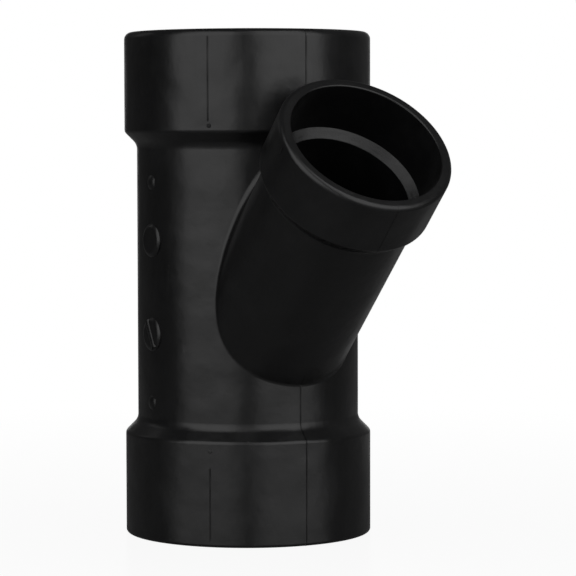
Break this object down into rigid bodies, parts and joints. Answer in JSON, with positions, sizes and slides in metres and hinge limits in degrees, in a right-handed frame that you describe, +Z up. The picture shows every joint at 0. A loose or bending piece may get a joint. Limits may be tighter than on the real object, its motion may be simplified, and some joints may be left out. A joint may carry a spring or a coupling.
{
  "type": "reducing wye",
  "caption": "Black moulded drain fitting: a straight run with a pipe socket at each end and a smaller 45 degree branch with its own socket.",
  "frame": {"origin": "middle of the lower mouth of the run, on the flat of its rim, which it stands on", "axes": "+Z up the run towards its other mouth, +X towards the branch, which leaves the run at 45 degrees between +X and +Z"},
  "size_m": [0.1719, 0.1002, 0.2042],
  "materials": {
    "black_plastic": "satin moulded black ABS"
  },
  "bodies": {
    "root": {"wye_body": "black_plastic"}
  },
  "joints": []
}
